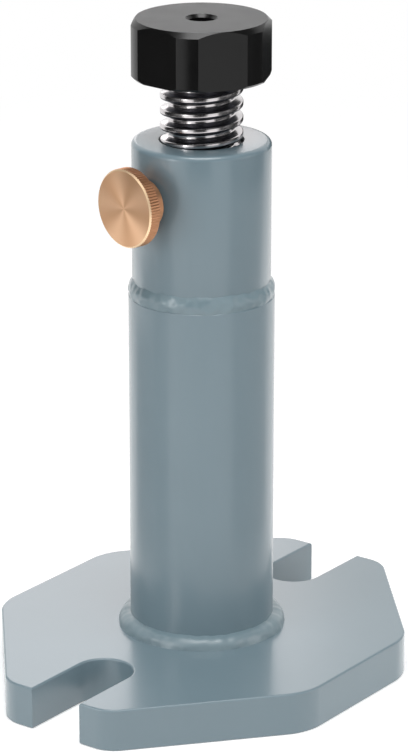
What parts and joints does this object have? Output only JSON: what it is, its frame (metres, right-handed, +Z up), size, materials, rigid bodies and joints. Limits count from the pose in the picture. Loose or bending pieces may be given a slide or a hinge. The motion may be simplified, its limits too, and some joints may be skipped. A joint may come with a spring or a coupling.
{
  "type": "screw jack",
  "caption": "Machinist's screw jack: slotted base plate, welded column, coarse trapezoidal spindle with a hexagon head and a knurled locking screw.",
  "frame": {"origin": "on the column's axis at the underside of the base plate", "axes": "+Z up along the spindle, +X along the two slots of the base plate, +Y across them"},
  "size_m": [0.188, 0.152, 0.2636],
  "materials": {
    "plate_paint": "blue-grey enamel, semi-gloss",
    "column_paint": "blue-grey enamel over turned steel, semi-gloss",
    "weld_paint": "blue-grey enamel over the weld bead, semi-gloss",
    "thread_steel": "bright, rolled and polished",
    "black_steel": "black oxide, satin",
    "washer_steel": "plain, satin",
    "screw_steel": "black oxide, satin",
    "knob_brass": "turned red brass with a faced front",
    "slug_brass": "turned, plain"
  },
  "bodies": {
    "column": {"base_plate": "plate_paint", "column_tube": "column_paint", "threaded_sleeve": "column_paint", "base_weld": "weld_paint", "sleeve_weld": "weld_paint"},
    "stop": {"stop_washer": "washer_steel"},
    "spindle": {"spindle": "thread_steel", "hex_head": "black_steel", "stop_screw": "screw_steel"},
    "slug": {"lock_slug": "slug_brass"},
    "lock": {"lock_screw": "knob_brass"}
  },
  "joints": [
    {"name": "spindle_lift", "type": "slide", "parent": "column", "child": "stop", "axis": [0, 0, 1], "range_m": [-0.0247, 0.02]},
    {"name": "spindle_turn", "type": "hinge", "parent": "stop", "child": "spindle", "pos_m": [0, 0, 0.2], "axis": [0, 0, 1], "range_deg": [-1482, 1200]},
    {"name": "lock_feed", "type": "slide", "parent": "column", "child": "slug", "axis": [-0.9816, 0.1908, 0], "range_m": [0, 0.0021]},
    {"name": "lock_turn", "type": "hinge", "parent": "slug", "child": "lock", "pos_m": [0, 0, 0.196], "axis": [-0.9816, 0.1908, 0], "range_deg": [0, 480]}
  ],
  "couplings": [
    {"joint": "spindle_lift", "follows": "spindle_turn", "m_per_rad": 0.00095493},
    {"joint": "lock_feed", "follows": "lock_turn", "m_per_rad": 0.00023873}
  ]
}
